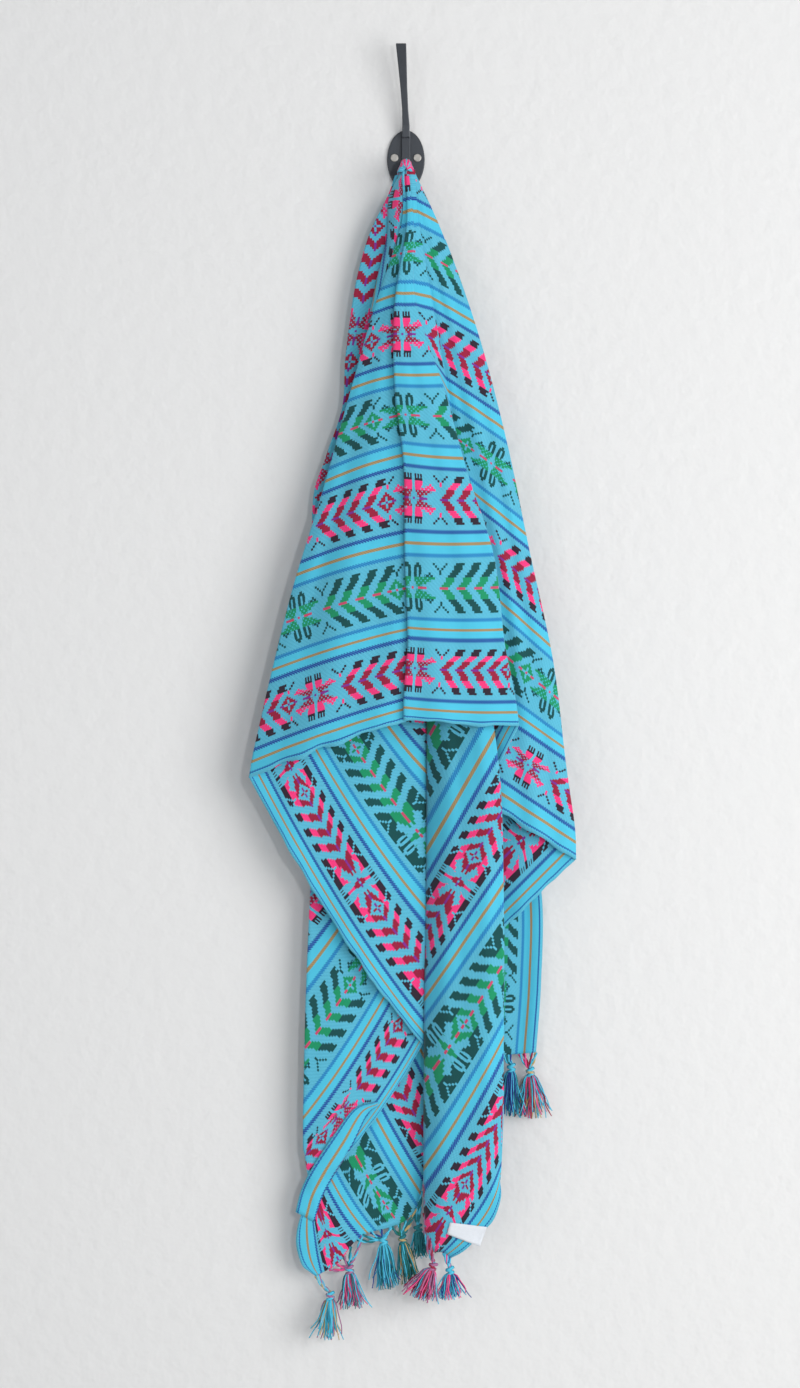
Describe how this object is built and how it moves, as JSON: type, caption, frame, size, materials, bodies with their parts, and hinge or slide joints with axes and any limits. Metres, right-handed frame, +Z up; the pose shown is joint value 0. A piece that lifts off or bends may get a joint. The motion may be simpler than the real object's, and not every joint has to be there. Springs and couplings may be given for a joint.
{
  "type": "fringed shawl on a wall hook",
  "caption": "Long woven shawl with brocade bands and a knotted tassel fringe, hung over the prong of a steel wall hook so that it falls in deep folds.",
  "frame": {"origin": "on the back of the hook's wall plate, at the height of its screws", "axes": "+Y into the wall, +Z up, along the fall of the cloth, +X to the viewer's right"},
  "size_m": [0.3275, 0.0913, 1.3022],
  "materials": {
    "cloth_front": "woven cotton, right face",
    "cloth_reverse": "woven cotton, floats of the reverse",
    "yarn_blue": "twisted yarn",
    "yarn_pink": "twisted yarn",
    "yarn_green": "twisted yarn",
    "label_white": "blank woven label",
    "hook_steel": "satin charcoal",
    "screw_steel": "plain"
  },
  "bodies": {
    "root": {"hook_plate": "hook_steel", "hook_arm": "hook_steel", "hook_upper_prong": "hook_steel", "hook_lower_prong": "hook_steel", "screw_left": "screw_steel", "screw_right": "screw_steel", "hook_saddle": "cloth_front", "front_left": "cloth_front", "front_right": "cloth_front", "front_turn": "cloth_front", "right_flank": "cloth_front", "right_corner_reverse": "cloth_reverse", "right_inner": "cloth_front", "right_reverse": "cloth_reverse", "left_reverse": "cloth_reverse", "lower_left": "cloth_front", "end_reverse": "cloth_reverse", "selvedge_roll": "cloth_reverse", "left_ridge": "cloth_front", "left_flank": "cloth_front", "back_left": "cloth_front", "back_right": "cloth_front", "care_label": "label_white", "tassel_end1_corner": "yarn_blue", "tassel_end1_pink": "yarn_pink", "tassel_end1_blue": "yarn_blue", "tassel_end1_green": "yarn_green", "tassel_end1_teal": "yarn_blue", "tassel_end2_pink": "yarn_pink", "tassel_end2_blue": "yarn_blue", "tassel_tail_outer": "yarn_blue", "tassel_tail_inner": "yarn_blue", "tassel_back_1": "yarn_blue", "tassel_back_2": "yarn_blue", "tassel_back_3": "yarn_blue", "tassel_back_4": "yarn_blue", "tassel_back_5": "yarn_blue"}
  },
  "joints": []
}
